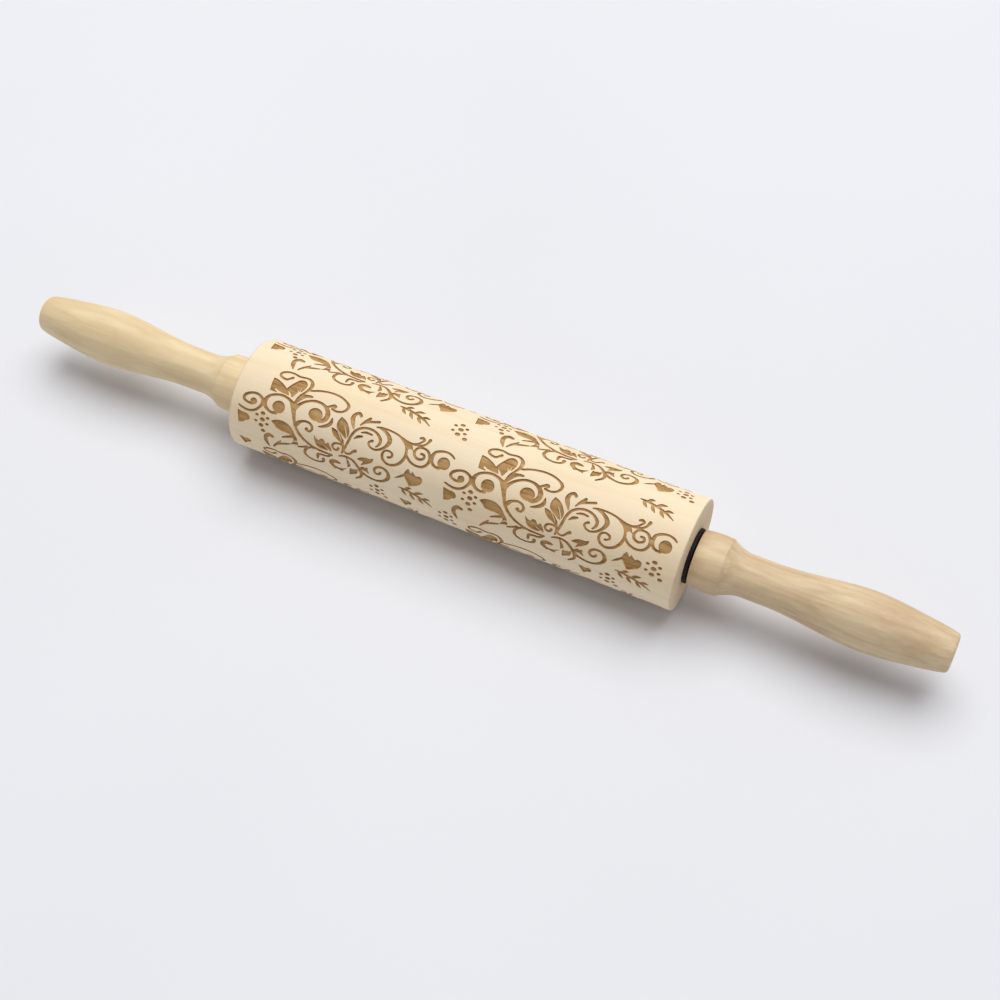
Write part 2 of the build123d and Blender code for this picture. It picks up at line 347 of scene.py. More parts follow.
# Where they lie by each row, counted upwards from the front row: (row, repeat, motif, along, round).
FILLER_PLACES = [
    (0, 1, "comma", 8.0, -6.2), (0, 1, "seeds", 3.2, -11.6), (0, 1, "heart", 67.8, -11.0),
    (0, 1, "seeds", 78.2, -11.2), (0, 1, "sprig", 88.0, -5.0),
    (0, 0, "comma", 16.6, -6.1), (0, 0, "heart", 4.4, -11.6), (0, 0, "seeds", 70.4, -11.6),
    (0, 0, "heart", 84.0, -12.6), (0, 0, "sprig", 88.0, -5.0),
    (1, 1, "comma", 17.4, -5.6), (1, 1, "sprig", 88.0, -10.4),
    (1, 0, "comma", 16.6, -5.6), (1, 0, "sprig", 76.5, -8.6), (1, 0, "seeds", 98.4, -8.4),
    (2, 1, "comma", 8.0, -6.2), (2, 1, "seeds", 2.6, -11.6), (2, 1, "seeds", 70.4, -11.6),
    (2, 1, "heart", 84.0, -12.6), (2, 1, "sprig", 88.0, -5.0),
    (2, 0, "comma", 16.6, -6.1), (2, 0, "heart", 4.4, -11.6), (2, 0, "heart", 67.8, -11.0),
    (2, 0, "seeds", 78.2, -11.2), (2, 0, "sprig", 88.0, -5.0),
    (3, 1, "comma", 16.6, -5.6), (3, 1, "sprig", 76.5, -8.6), (3, 1, "heart", 96.0, -8.8),
    (3, 0, "comma", 16.6, -5.6), (3, 0, "sprig", 88.0, -10.4), (3, 0, "seeds", 98.8, -5.8),
] + [(row, 1, "seeds", 96.4, 3.3) for row in range(REPEATS_ROUND)]


def smooth(points):
    """A Catmull-Rom curve through the points; a stroke's width is carried along as a third column."""
    p = np.array(points, float)
    before = 2 * p[0] - p[1]
    after = 2 * p[-1] - p[-2]
    q = np.vstack([before, p, after])
    pieces = []
    for a, b, c, d in zip(q[:-3], q[1:-2], q[2:-1], q[3:]):
        count = max(2, int(math.hypot(*(c - b)[:2]) / CURVE_STEP))
        t = np.linspace(0, 1, count, endpoint=False)[:, None]
        pieces.append(
            0.5 * (2 * b + (c - a) * t + (2 * a - 5 * b + 4 * c - d) * t**2 + (3 * b - a - 3 * c + d) * t**3)
        )
    return np.vstack(pieces + [p[-1:]])


class Drawing:
    """A flat grid of signed distances to everything engraved, in mm: below zero is cut away."""

    def __init__(self, corners):
        low, high = corners
        self.low = low
        self.along = np.arange(low[0], high[0], DRAWING_STEP)
        self.round = np.arange(low[1], high[1], DRAWING_STEP)
        self.value = np.full((len(self.along), len(self.round)), FIELD_REACH)

    def window(self, points):
        """The grid's part near some points, as slices and as two arrays of places."""
        slices = []
        for axis, line in enumerate((self.along, self.round)):
            start = np.searchsorted(line, points[:, axis].min() - FIELD_REACH)
            end = np.searchsorted(line, points[:, axis].max() + FIELD_REACH)
            slices.append(slice(max(start, 0), end))
        x, y = np.meshgrid(self.along[slices[0]], self.round[slices[1]], indexing="ij")
        return tuple(slices), x, y

    def add(self, part, distance):
        self.value[part] = np.minimum(self.value[part], distance)

    def cut(self, part, distance):
        self.value[part] = np.maximum(self.value[part], -distance)


def segment_distance(x, y, a, b, width_a=0.0, width_b=0.0):
    """Distance from each place to the segment a-b, less half of its width there."""
    d = b - a
    length2 = max(d @ d, 1e-9)
    t = np.clip(((x - a[0]) * d[0] + (y - a[1]) * d[1]) / length2, 0, 1)
    away = np.hypot(x - a[0] - t * d[0], y - a[1] - t * d[1])
    return away - (width_a + (width_b - width_a) * t) / 2


def draw_stroke(drawing, points, cut=False):
    """A round-ended line of changing width, engraved or, as a cut, left standing."""
    line = smooth(points)
    part, x, y = drawing.window(line)
    distance = np.full(x.shape, FIELD_REACH)
    for p, q in zip(line[:-1], line[1:]):
        distance = np.minimum(distance, segment_distance(x, y, p[:2], q[:2], p[2], q[2]))
    if cut:
        drawing.cut(part, distance)
    else:
        drawing.add(part, distance)


def draw_leaf(drawing, sides):
    """A filled shape inside its smooth sides."""
    outline = np.vstack([smooth(side)[:-1] for side in sides])
    part, x, y = drawing.window(outline)
    distance = np.full(x.shape, FIELD_REACH)
    inside = np.zeros(x.shape, bool)
    for p, q in zip(outline, np.roll(outline, -1, axis=0)):
        distance = np.minimum(distance, segment_distance(x, y, p, q))
        if p[1] != q[1]:
            crosses = (p[1] > y) != (q[1] > y)
            inside ^= crosses & (x < p[0] + (q[0] - p[0]) * (y - p[1]) / (q[1] - p[1]))
    drawing.add(part, np.where(inside, -distance, distance))


def draw_disc(drawing, disc):
    along, around, half_length, half_height = disc
    middle, half = np.array((along, around)), np.array((half_length, half_height))
    part, x, y = drawing.window(np.array([middle - half, middle + half]))
    reach = np.hypot((x - along) / half_length, (y - around) / half_height)
    drawing.add(part, (reach - 1) * min(half_length, half_height))


def draw_seeds(drawing, along, around, tail):
    for dx, dy, size in SEED_DOTS + [tail]:
        draw_disc(drawing, (along + dx, around + dy, size, size * SEED_FLATNESS))


def draw_row():
    """Everything that comes in every repeat of a row."""
    drawing = Drawing(ROW_CORNERS)
    for points in SCROLLS.values():
        draw_stroke(drawing, points)
    for disc in DISCS.values():
        draw_disc(drawing, disc)
    for sides in LEAVES.values():
        draw_leaf(drawing, sides)
    for points in VEINS:
        draw_stroke(drawing, points, cut=True)
    draw_seeds(drawing, *ROW_SEEDS, ROW_SEEDS_TAIL)
    return drawing


def draw_filler(name):
    """One of the small motifs, about its own middle."""
    drawing = Drawing(FILLER_CORNERS)
    for points in FILLER_STROKES.get(name, []):
        draw_stroke(drawing, points)
    if name in FILLER_LEAVES:
        draw_leaf(drawing, FILLER_LEAVES[name])
    if name == "seeds":
        draw_seeds(drawing, 0.0, 0.0, FILLER_SEEDS_TAIL)
    return drawing


# ---------- From the drawing to closed outlines ----------

CIRCUMFERENCE = 2 * math.pi * BARREL_RADIUS / MM
ROW_CELLS = 196  # grid cells between one row and the next
ROUND_CELLS = ROW_CELLS * REPEATS_ROUND
ROUND_CELL = CIRCUMFERENCE / ROUND_CELLS
CONTOUR_TOLERANCE = 0.016  # mm, when an outline is thinned to the points that it needs
LONGEST_EDGE = 2.2  # mm, between two of those points
SPECK = 6  # outlines with no more points than this are left out


def whole_field():
    """The distance field of the whole barrel, unrolled; it closes on itself round the barrel."""
    field = np.full((int(2 * HALF_BARREL / MM / DRAWING_STEP) + 1, ROUND_CELLS), FIELD_REACH)
    row = draw_row()
    fillers = {name: draw_filler(name) for name in ("comma", "heart", "seeds", "sprig")}
    for repeat in range(REPEATS_ALONG):
        for turn in range(REPEATS_ROUND):
            stamp(field, row, turn, repeat, 0.0, 0.0)
    for turn, repeat, name, along, around in FILLER_PLACES:
        stamp(field, fillers[name], turn, repeat, along, around)
    return field


def stamp(field, drawing, turn, repeat, along, around):
    """Lay a drawing on the barrel's field, in one row and one repeat."""
    start = round((FIRST_REPEAT + repeat * REPEAT_LENGTH + along + drawing.low[0]) / DRAWING_STEP)
    first = turn * ROW_CELLS + round((around + drawing.low[1]) / DRAWING_STEP)
    i = start + np.arange(len(drawing.along))
    j = (first + np.arange(len(drawing.round))) % ROUND_CELLS
    known = (i >= 0) & (i < len(field))
    place = np.ix_(i[known], j)
    field[place] = np.minimum(field[place], drawing.value[known])


def contours(field, level):
    """The closed lines on which the field has this value, by marching squares, in mm."""
    v = field - level
    inside = v < 0
    above = np.roll(inside, -1, axis=1)
    links = {}
    mixed = inside[:-1].astype(int) + inside[1:] + above[:-1] + above[1:]
    for i, j in zip(*np.nonzero((mixed > 0) & (mixed < 4))):
        up = (j + 1) % ROUND_CELLS
        corners = [inside[i, j], inside[i + 1, j], inside[i + 1, up], inside[i, up]]
        edges = [(i, j, True), (i + 1, j, False), (i, up, True), (i, j, False)]
        starts = [edges[k] for k in range(4) if corners[k] and not corners[(k + 1) % 4]]
        ends = [edges[k] for k in range(4) if not corners[k] and corners[(k + 1) % 4]]
        if len(starts) == 2 and v[i, j] + v[i + 1, j] + v[i + 1, up] + v[i, up] < 0:
            ends.reverse()
        for start, end in zip(starts, ends):
            links[start] = end
    loops = []
    while links:
        first, here = links.popitem()
        loop = [first]
        while here != first:
            loop.append(here)
            here = links.pop(here)
        if len(loop) > SPECK:
            loops.append(thinned(np.array([crossing(v, *edge) for edge in loop])))
    return loops


def crossing(v, i, j, runs_along):
    """Where a grid edge crosses zero, in grid cells."""
    there = v[i + 1, j] if runs_along else v[i, (j + 1) % ROUND_CELLS]
    t = v[i, j] / (v[i, j] - there)
    return (i + t, j) if runs_along else (i, j + t)


def thinned(loop):
    """A closed loop in mm, with only the points that keep it within the tolerance."""
    around = np.unwrap(loop[:, 1], period=ROUND_CELLS)
    loop = np.column_stack([loop[:, 0] * DRAWING_STEP, around * ROUND_CELL])
    closed = np.vstack([loop, loop[:1]])
    far = int(np.argmax(np.hypot(*(loop - loop[0]).T)))
    keep = needed(closed[: far + 1], CONTOUR_TOLERANCE, LONGEST_EDGE)[:-1]
    keep += [far + k for k in needed(closed[far:], CONTOUR_TOLERANCE, LONGEST_EDGE)[:-1]]
    return loop[keep]


def needed(line, tolerance, longest):
    """The indices of an open line's points that keep it within the tolerance."""
    keep = {0, len(line) - 1}
    spans = [(0, len(line) - 1)]
    while spans:
        a, b = spans.pop()
        if b - a < 2:
            continue
        chord = line[b] - line[a]
        middle = line[a + 1 : b] - line[a]
        length = max(math.hypot(*chord), 1e-9)
        off = np.abs(middle[:, 0] * chord[1] - middle[:, 1] * chord[0]) / length
        if off.max() > tolerance or length > longest:
            worst = int(np.argmax(off)) + a + 1
            keep.add(worst)
            spans += [(a, worst), (worst, b)]
    return sorted(keep)


# ---------- From the outlines to the barrel's mesh ----------

ROUND_STEPS = 144  # facets round the barrel
FACET = CIRCUMFERENCE / ROUND_STEPS
SKIN_START = BARREL_EDGE / MM
SKIN_END = 2 * HALF_BARREL / MM - SKIN_START
FILL_SPACING = 2.4  # mm along the barrel between the plain grid's points
FILL_SCATTER = 0.25, 0.15  # of the grid's spacing, along and round
FILL_CLEARANCE = 0.4  # mm from those points to the nearest outline
WRAP = 12.0  # mm of the drawing repeated past each side of the cut line, so that both sides match
CUT_LINE = 0.0437  # mm; off the drawing's grid, so no triangle's middle lies on it
WHOLE_SHEET = 0  # asks for triangles over everything, holes included
SAME_POINT = 1e-6  # mm; points nearer than this would be joined
SKIN, WALL, FLOOR, TURNED = range(4)
PLAIN_SKIN, RIM, FOOT, PLAIN_FLOOR = range(4)  # kinds of point; the last two lie at the engraving's floor
RIM_SLACK = 0.05  # mm inside the rim that a triangle of three rim points needs to be, to be a wall


def field_at(field, along, around):
    """The field at places given in mm."""
    i = np.rint(along / DRAWING_STEP).astype(int)
    j = np.rint(around / ROUND_CELL).astype(int) % ROUND_CELLS
    return field[i, j]


def outline_points(field):
    """The points of every engraved rim and wall foot, their kinds, and the edges that join them."""
    places, kinds, edges = [], [], []
    for kind, level in ((RIM, STROKE_GAIN), (FOOT, STROKE_GAIN - WALL_RUN)):
        for loop in contours(field, level):
            base = len(places)
            places += list(loop)
            kinds += [kind] * len(loop)
            edges += [(base + k, base + (k + 1) % len(loop)) for k in range(len(loop))]
    return places, kinds, edges


def fill_points(field):
    """Plain grid points, a little scattered, that carry the skin's and the floors' curve between outlines."""
    rng = np.random.default_rng(seed=7)
    columns = np.linspace(SKIN_START, SKIN_END, int((SKIN_END - SKIN_START) / FILL_SPACING) + 1)
    x, y = np.meshgrid(columns[1:-1], np.arange(ROUND_STEPS) * FACET, indexing="ij")
    scatter_along, scatter_round = FILL_SCATTER
    x = (x + rng.uniform(-scatter_along, scatter_along, x.shape) * FILL_SPACING).ravel()
    y = (y + rng.uniform(-scatter_round, scatter_round, y.shape) * FACET).ravel()
    value = field_at(field, x, y) - STROKE_GAIN
    plain = value > FILL_CLEARANCE
    sunk = value < -(WALL_RUN + FILL_CLEARANCE)
    places = [np.column_stack([x[plain], y[plain]]), np.column_stack([x[sunk], y[sunk]])]
    rims = [(end, k * FACET) for end in (SKIN_START, SKIN_END) for k in range(ROUND_STEPS)]
    kinds = [PLAIN_SKIN] * plain.sum() + [PLAIN_FLOOR] * sunk.sum() + [PLAIN_SKIN] * len(rims)
    return np.vstack(places + [np.array(rims)]), kinds


def divided(places, edges):
    """The unrolled skin's triangles between these points and along these edges, and their flat corners.

    The drawing is repeated a little past the cut line on both sides before it is divided into triangles,
    so that the triangles at the cut line match when the skin is rolled up.
    """
    turns = (-1, 0, 1)
    spread = np.vstack([places + (0, turn * CIRCUMFERENCE) for turn in turns])
    base = np.tile(np.arange(len(places)), len(turns))
    near = (spread[:, 1] > -WRAP) & (spread[:, 1] < CIRCUMFERENCE + WRAP)
    index = np.cumsum(near) - 1
    pairs = np.vstack([np.array(edges) + k * len(places) for k in range(len(turns))])
    links = index[pairs[near[pairs].all(axis=1)]].tolist()
    flat, base = spread[near], base[near]
    points = [Vector(p) for p in flat]
    verts, _, faces, sources, _, _ = delaunay_2d_cdt(points, links, [], WHOLE_SHEET, SAME_POINT, True)
    if len(verts) != len(flat) or any(len(ids) != 1 for ids in sources):
        raise RuntimeError("engraving outlines cross or touch")
    source = np.array([ids[0] for ids in sources])
    corners = source[np.array(faces)]
    around = flat[corners].mean(axis=1)[:, 1]
    corners = corners[(around >= CUT_LINE) & (around < CIRCUMFERENCE + CUT_LINE)]
    return base[corners], flat[corners]


def surfaces_of(field, kinds, nodes, flat_corners):
    """Skin, wall or floor, for each triangle."""
    sunk = kinds[nodes] >= FOOT
    surface = np.where(sunk.all(axis=1), FLOOR, np.where(sunk.any(axis=1), WALL, SKIN))
    along, around = flat_corners.mean(axis=1).T
    cut = field_at(field, along, around) < STROKE_GAIN - RIM_SLACK
    surface[(kinds[nodes] == RIM).all(axis=1) & cut] = WALL
    return surface


def skin_mesh():
    """The engraved skin, unrolled: places, kinds, triangles, their flat corners and their surfaces."""
    field = whole_field()
    outline_places, outline_kinds, edges = outline_points(field)
    fill, fill_kinds = fill_points(field)
    places = np.vstack([np.array(outline_places), fill])
    kinds = np.array(outline_kinds + fill_kinds)
    nodes, flat_corners = divided(places, edges)
    return places, kinds, nodes, flat_corners, surfaces_of(field, kinds, nodes, flat_corners)


END_FACE_RADII = (22.0, 19.0, 15.0, 11.5)
SEAT_CHAMFER = 0.1 * MM
RIM_RINGS = 6


def turned_outline():
    """The barrel's right half past its skin, as (x, radius): rounded rim, end face, bush seat and tunnel."""
    rim = [
        (HALF_BARREL - BARREL_EDGE * (1 - math.sin(a)), BARREL_RADIUS - BARREL_EDGE * (1 - math.cos(a)))
        for a in np.linspace(0, math.pi / 2, RIM_RINGS)
    ]
    face = [(HALF_BARREL, r * MM) for r in END_FACE_RADII]
    seat_mouth = [
        (HALF_BARREL, BUSH_SEAT_RADIUS + SEAT_CHAMFER),
        (HALF_BARREL - SEAT_CHAMFER, BUSH_SEAT_RADIUS),
    ]
    seat_end = HALF_BARREL - BUSH_SEAT_DEPTH
    return rim + face + seat_mouth + [(seat_end, BUSH_SEAT_RADIUS), (seat_end, TUNNEL_RADIUS)]


def place_on_barrel(along, around, radius):
    """A flat place and a radius, as a point of the barrel in metres."""
    angle = (around + DRAWING_TURN) * MM / BARREL_RADIUS
    return (along * MM - HALF_BARREL, -radius * math.cos(angle), radius * math.sin(angle))


# Each surface has its own band of the bake picture.
UV_BANDS = {SKIN: (0.01, 0.27), WALL: (0.29, 0.53), FLOOR: (0.55, 0.81), TURNED: (0.83, 0.99)}
UV_SPARE = 0.02  # share of a band left free at each edge
TURNED_END_SHARE = 0.45  # of the turned band's height that each end takes; the tunnel has the rest


def band_uv(band, share_along, share_up):
    """A place in a surface's band, from its shares of the band's length and height."""
    low, high = UV_BANDS[band]
    used = 1 - 2 * UV_SPARE
    return (UV_SPARE + used * share_along, low + (high - low) * (UV_SPARE + used * share_up))


def make_barrel(materials):
    """The engraved barrel as one closed mesh."""
    places, kinds, nodes, flat_corners, surface = skin_mesh()
    radii = np.where(kinds >= FOOT, BARREL_RADIUS - ENGRAVING_DEPTH * MM, BARREL_RADIUS)
    verts = [place_on_barrel(x, y, radius) for (x, y), radius in zip(places, radii)]
    faces = nodes.tolist()
    surfaces = surface.tolist()
    length = 2 * HALF_BARREL / MM
    uvs = [
        [band_uv(s, x / length, (y + WRAP) / (CIRCUMFERENCE + 2 * WRAP)) for x, y in corners]
        for s, corners in zip(surfaces, flat_corners)
    ]
    add_turned_part(verts, faces, uvs)
    surfaces += [TURNED] * (len(faces) - len(surfaces))
    barrel = new_piece("engraved_wood_barrel", verts, faces, materials)
    barrel.data.polygons.foreach_set("material_index", np.array(surfaces, np.int32))
    layer = barrel.data.uv_layers.new(name="OFBake")
    layer.data.foreach_set("uv", np.array([uv for face in uvs for uv in face], np.float32).ravel())
    set_barrel_normals(barrel, surfaces)
    return barrel


def add_turned_part(verts, faces, uvs):
    """Rims, end faces, bush seats and tunnel, from the skin's two ends, which are its last points."""
    rims = np.arange(len(verts) - 2 * ROUND_STEPS, len(verts)).reshape(2, ROUND_STEPS).tolist()
    outline = turned_outline()
    run = np.cumsum([0.0] + [math.dist(a, b) for a, b in zip(outline[:-1], outline[1:])])
    share = run / run[-1] * TURNED_END_SHARE
    inner = []
    for side, ring in zip((-1, 1), rims):
        across = share if side < 0 else 1 - share
        for k in range(1, len(outline)):
            new = list(range(len(verts), len(verts) + ROUND_STEPS))
            x, radius = outline[k]
            along = (side * x + HALF_BARREL) / MM
            verts += [place_on_barrel(along, n * FACET, radius) for n in range(ROUND_STEPS)]
            add_band(faces, uvs, ring, new, across[k - 1], across[k], side > 0)
            ring = new
        inner.append(ring)
    add_band(faces, uvs, inner[0], inner[1], share[-1], 1 - share[-1], False)


def add_band(faces, uvs, ring, new, across, new_across, flip):
    """Quads between two rings of the barrel's turned part."""
    for n in range(ROUND_STEPS):
        m = (n + 1) % ROUND_STEPS
        quad = [ring[n], ring[m], new[m], new[n]]
        corners = [(n, across), (n + 1, across), (n + 1, new_across), (n, new_across)]
        if flip:
            quad.reverse()
            corners.reverse()
        faces.append(quad)
        uvs.append([band_uv(TURNED, a / ROUND_STEPS, b) for a, b in corners])


def set_barrel_normals(barrel, surfaces):
    """Skin and floors are shaded as true cylinders; the rest is smooth, with its sharp edges kept."""
    mesh = barrel.data
    mesh.polygons.foreach_set("use_smooth", np.ones(len(mesh.polygons), bool))
    mesh.set_sharp_from_angle(angle=SHARP_ANGLE)
    normals = np.empty(len(mesh.loops) * 3, np.float32)
    mesh.corner_normals.foreach_get("vector", normals)
    normals = normals.reshape(-1, 3)
    loop_verts = np.empty(len(mesh.loops), np.int32)
    mesh.loops.foreach_get("vertex_index", loop_verts)
    coords = np.empty(len(mesh.vertices) * 3, np.float32)
    mesh.vertices.foreach_get("co", coords)
    radial = coords.reshape(-1, 3)[loop_verts] * (0, 1, 1)
    radial /= np.linalg.norm(radial, axis=1)[:, None]
    sizes = [len(polygon.vertices) for polygon in mesh.polygons]
    round_part = np.repeat(np.isin(surfaces, (SKIN, FLOOR)), sizes)
    normals[round_part] = radial[round_part]
    mesh.normals_split_custom_set(normals.tolist())


def new_piece(name, verts, faces, materials):
    mesh = bpy.data.meshes.new(name)
    mesh.from_pydata(verts, [], faces)
    mesh.validate(clean_customdata=False)
    for material in materials:
        mesh.materials.append(material)
    piece = bpy.data.objects.new(name, mesh)
    bpy.context.scene.collection.objects.link(piece)
    return piece


# ---------- Handles, turned from the CAD handles' own outlines ----------

HANDLE_SEGMENTS = 128
OUTLINE_TOLERANCE = 0.004 * MM
LONGEST_RING_GAP = 1.6 * MM
SOCKET_RADIUS = 4 * MM
SOCKET_SPARE = 2 * MM  # past the axle's end
OUTER_RADIUS = 1.02 * SOCKET_RADIUS  # a CAD handle's points nearer the axis than this are its socket's
INNER_FACE_SHARES = (0.6, 0.85)  # rings on the flat ends, as shares of their radius
TAIL_FACE_SHARES = (0.85, 0.6, 0.3, 0.0)


def cad_outline(node, side):
    """A turned CAD node's outer outline: places from its inner face, and the radius at each."""
    coords = np.array([v.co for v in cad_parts[node].data.vertices])
    low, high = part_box(node)
    inner = low.x if side > 0 else high.x
    places = np.round((coords[:, 0] - inner) * side, 7)
    radii = np.hypot(coords[:, 1], coords[:, 2])
    outer = {}
    for place, radius in zip(places, radii):
        if radius > OUTER_RADIUS:
            outer[place] = max(outer.get(place, 0), radius)
    outline = np.array(sorted(outer.items()))
    return inner, outline[needed(outline, OUTLINE_TOLERANCE, LONGEST_RING_GAP)]


def make_handle(node, side, material):
    """One turned handle: closed, with its blind socket for the axle."""
    inner, outline = cad_outline(node, side)
    socket_depth = (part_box("axle_rod")[1].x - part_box("right_handle")[0].x) + SOCKET_SPARE
    length, tail_radius = outline[-1]
    profile = [(socket_depth, 0.0), (socket_depth, SOCKET_RADIUS), (0.0, SOCKET_RADIUS)]
    profile += [(0.0, outline[0][1] * share) for share in INNER_FACE_SHARES]
    profile += outline.tolist()
    profile += [(length, tail_radius * share) for share in TAIL_FACE_SHARES]
    verts, faces = lathe([(inner + side * place, radius) for place, radius in profile], side)
    handle = new_piece("turned_" + node, verts, faces, [material])
    handle.data.polygons.foreach_set("use_smooth", np.ones(len(faces), bool))
    handle.data.set_sharp_from_angle(angle=SHARP_ANGLE)
    return handle


def lathe(profile, side):
    """Rings of points about X and the faces between them; a radius of zero closes the form in a point."""
    verts, faces, rings = [], [], []
    for x, radius in profile:
        if radius < 1e-9:
            rings.append([len(verts)])
            verts.append((x, 0.0, 0.0))
        else:
            rings.append(list(range(len(verts), len(verts) + HANDLE_SEGMENTS)))
            for k in range(HANDLE_SEGMENTS):
                a = 2 * math.pi * k / HANDLE_SEGMENTS
                verts.append((x, radius * math.cos(a), radius * math.sin(a)))
    for a, b in zip(rings[:-1], rings[1:]):
        for k in range(HANDLE_SEGMENTS):
            m = (k + 1) % HANDLE_SEGMENTS
            face = [a[k % len(a)], a[m % len(a)], b[m % len(b)], b[k % len(b)]]
            face = list(dict.fromkeys(face))
            if side > 0:
                face.reverse()
            faces.append(tuple(face))
    return verts, faces


# ---------- Materials ----------


class Nodes:
    """A material's node tree, with short calls that add one node each."""

    def __init__(self, name):
        self.material = bpy.data.materials.new(name)
        self.material.use_nodes = True
        self.tree = self.material.node_tree
        self.shader = self.tree.nodes["Principled BSDF"]
        self.object_coords = self.tree.nodes.new("ShaderNodeTexCoord").outputs["Object"]

    def add(self, kind, inputs=None, **settings):
        node = self.tree.nodes.new("ShaderNode" + kind)
        for key, value in settings.items():
            setattr(node, key, value)
        for key, value in (inputs or {}).items():
            self.feed(node.inputs[key], value)
        return node

    def feed(self, socket, value):
        if isinstance(value, bpy.types.NodeSocket):
            self.tree.links.new(value, socket)
        else:
            socket.default_value = value

    def scaled(self, vector, scale):
        return self.add("VectorMath", {0: vector, 1: scale}, operation="MULTIPLY").outputs[0]

    def noise(self, vector, detail, roughness=0.55):
        values = {"Vector": vector, "Scale": 1.0, "Detail": detail, "Roughness": roughness}
        return self.add("TexNoise", values).outputs["Fac"]

    def grain(self, along, across, detail, roughness=0.55):
        """Noise of one fineness along X and another across it."""
        return self.noise(self.scaled(self.object_coords, (along, across, across)), detail, roughness)

    def ramp(self, factor, stops):
        node = self.add("ValToRGB", {"Fac": factor})
        elements = node.color_ramp.elements
        while len(elements) < len(stops):
            elements.new(0.5)
        for element, (place, colour) in zip(elements, stops):
            element.position = place
            element.color = (*colour, 1) if isinstance(colour, tuple) else (colour, colour, colour, 1)
        return node.outputs["Color"]

    def mix(self, factor, a, b):
        """A Mix node set to colours, which are its inputs 6 and 7 and its output 2."""
        node = self.add("Mix", data_type="RGBA")
        self.feed(node.inputs[0], factor)
        self.feed(node.inputs[6], (*a, 1) if isinstance(a, tuple) else a)
        self.feed(node.inputs[7], (*b, 1) if isinstance(b, tuple) else b)
        return node.outputs[2]

    def math(self, operation, a, b=0.5):
        return self.add("Math", {0: a, 1: b}, operation=operation).outputs[0]

    def bump(self, height, strength, distance):
        values = {"Height": height, "Strength": strength, "Distance": distance}
        return self.add("Bump", values).outputs["Normal"]

    def finish(self, colour, roughness, normal=None, **constants):
        self.feed(self.shader.inputs["Base Color"], colour)
        self.feed(self.shader.inputs["Roughness"], roughness)
        if normal is not None:
            self.feed(self.shader.inputs["Normal"], normal)
        for name, value in constants.items():
            self.shader.inputs[name.replace("_", " ")].default_value = value
        return self.material


def rgb(*channels):
    """A colour given as it looks on screen, from 0 to 255, as linear light."""
    return tuple(((c / 255 + 0.055) / 1.055) ** 2.4 if c > 10 else c / 255 / 12.92 for c in channels)


BARREL_PITH = (0.0, 0.021, -0.034)  # a point of the tree's middle line, which runs along X


def wood_colour(n, pale, mid, dark, pith, ring_scale=260.0):
    """Growth rings round a pith line, long fibres and short flecks: their colour, and the fibres alone."""
    shifted = n.add("VectorMath", {0: n.object_coords, 1: pith}, operation="SUBTRACT").outputs[0]
    wander = n.scaled(shifted, (2.2, 9.0, 9.0))
    waviness = n.math("MULTIPLY", n.noise(wander, 3.0), 0.012)
    flat = n.scaled(shifted, (0.0, 1.0, 1.0))
    reach = n.add("VectorMath", {0: flat}, operation="LENGTH").outputs["Value"]
    rings = n.math("FRACT", n.math("MULTIPLY", n.math("ADD", reach, waviness), ring_scale))
    ring_tone = n.ramp(rings, [(0.0, 0.25), (0.55, 0.4), (0.88, 0.75), (1.0, 0.25)])
    fibres = n.grain(28.0, 1500.0, 5.0, 0.6)
    clouds = n.grain(9.0, 38.0, 3.0)
    flecks = n.ramp(n.grain(260.0, 2600.0, 1.0), [(0.66, 0.0), (0.74, 1.0)])
    grain = n.mix(0.5, ring_tone, fibres)
    base = n.ramp(n.mix(0.55, grain, clouds), [(0.3, pale), (0.5, mid), (0.72, dark)])
    return n.mix(n.math("MULTIPLY", flecks, 0.16), base, dark), fibres


def skin_material():
    n = Nodes("pale_sanded_wood")
    colour, fibres = wood_colour(n, rgb(250, 232, 202), rgb(246, 225, 191), rgb(236, 211, 174), BARREL_PITH)
    blush = n.ramp(n.grain(14.0, 60.0, 3.0), [(0.45, 0.0), (0.7, 0.5)])
    tinted = n.mix(blush, colour, rgb(243, 217, 174))
    rough = n.ramp(fibres, [(0.3, 0.52), (0.7, 0.64)])
    normal = n.bump(fibres, 0.12, 0.0002)
    return n.finish(tinted, rough, normal, Specular_IOR_Level=0.35)


def floor_material():
    """Laser-toasted wood: tan, streaked along the grain in fine and coarse lines."""
    n = Nodes("toasted_engraving_floor")
    fine = n.grain(70.0, 2100.0, 5.0, 0.65)
    coarse = n.grain(40.0, 800.0, 3.0, 0.6)
    patches = n.grain(110.0, 220.0, 3.0)
    tone = n.mix(0.35, n.mix(0.5, fine, coarse), patches)
    colour = n.ramp(tone, [(0.36, rgb(140, 100, 55)), (0.5, rgb(187, 148, 95)), (0.64, rgb(215, 179, 128))])
    normal = n.bump(n.mix(0.5, fine, coarse), 0.6, 0.0005)
    return n.finish(colour, 0.82, normal, Specular_IOR_Level=0.2)


def wall_material():
    """The browned sides of each cut, darker in places."""
    n = Nodes("browned_engraving_wall")
    scorch = n.grain(500.0, 700.0, 4.0)
    tones = [(0.3, rgb(160, 120, 74)), (0.55, rgb(204, 166, 116)), (0.75, rgb(222, 188, 140))]
    colour = n.ramp(scorch, tones)
    normal = n.bump(scorch, 0.4, 0.0003)
    return n.finish(colour, 0.85, normal, Specular_IOR_Level=0.2)


def end_grain_material():
    n = Nodes("sawn_end_grain")
    colour, _ = wood_colour(n, rgb(238, 219, 192), rgb(230, 208, 178), rgb(212, 187, 154), BARREL_PITH)
    pores = n.grain(40.0, 1800.0, 3.0, 0.7)
    speckled = n.mix(n.ramp(pores, [(0.55, 0.0), (0.7, 0.28)]), colour, rgb(180, 152, 118))
    normal = n.bump(pores, 0.35, 0.0003)
    return n.finish(speckled, 0.74, normal, Specular_IOR_Level=0.25)


